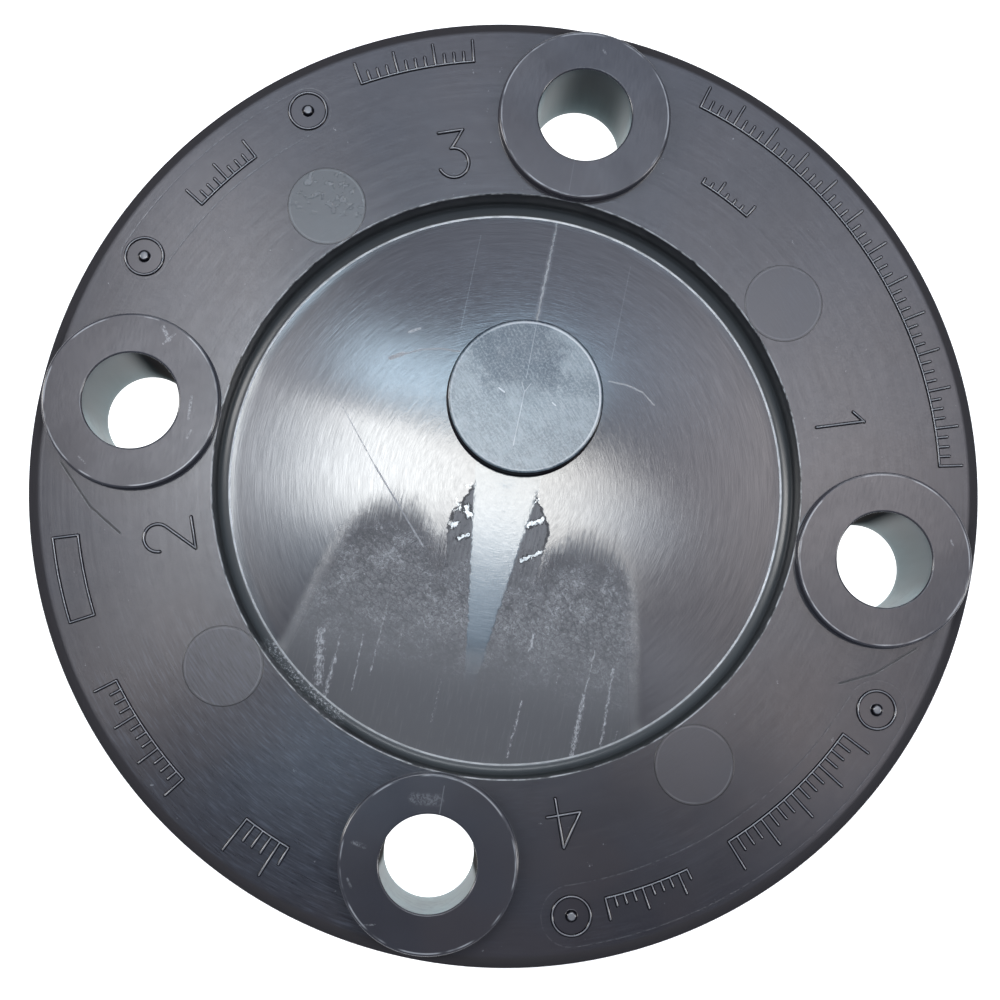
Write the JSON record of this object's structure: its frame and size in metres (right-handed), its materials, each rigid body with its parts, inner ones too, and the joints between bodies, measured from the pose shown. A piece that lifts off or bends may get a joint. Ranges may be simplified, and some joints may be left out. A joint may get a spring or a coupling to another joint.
{
  "type": "blind flange",
  "caption": "Round moulded plastic blind flange with a recessed back, raised washer seats round its bolt holes, an off-centre gate pad and raised index marks.",
  "frame": {"origin": "centre of the gasket face, which is the lowest face", "axes": "+Z from the gasket face towards the washer seats, through the thickness; +X through the bolt hole beside number 1, +Y through the one beside number 3, with the gate pad on the +Y side"},
  "size_m": [0.1906, 0.1906, 0.027],
  "materials": {
    "pvc_body": "dark blue-grey moulded PVC, satin, with faint turning marks and flow lines",
    "pvc_seats": "dark blue-grey moulded PVC, smooth and semi-gloss, lightly scuffed",
    "pvc_pad": "dark blue-grey moulded PVC, finely speckled satin",
    "pvc_marks": "dark blue-grey moulded PVC, smooth raised lines"
  },
  "bodies": {
    "root": {"flange_plate": "pvc_body", "washer_seat_1": "pvc_seats", "washer_seat_2": "pvc_seats", "washer_seat_3": "pvc_seats", "washer_seat_4": "pvc_seats", "gate_pad": "pvc_pad", "bolt_number_1": "pvc_marks", "bolt_number_2": "pvc_marks", "bolt_number_3": "pvc_marks", "bolt_number_4": "pvc_marks", "ring_mark_1": "pvc_marks", "ring_mark_2": "pvc_marks", "ring_mark_3": "pvc_marks", "ring_mark_4": "pvc_marks", "tick_row_torque": "pvc_marks", "tick_row_code": "pvc_marks", "tick_row_schedule": "pvc_marks", "tick_row_material": "pvc_marks", "tick_row_pressure": "pvc_marks", "tick_row_size": "pvc_marks", "tick_row_origin": "pvc_marks", "tick_row_maker": "pvc_marks", "label_frame": "pvc_marks"}
  },
  "joints": []
}
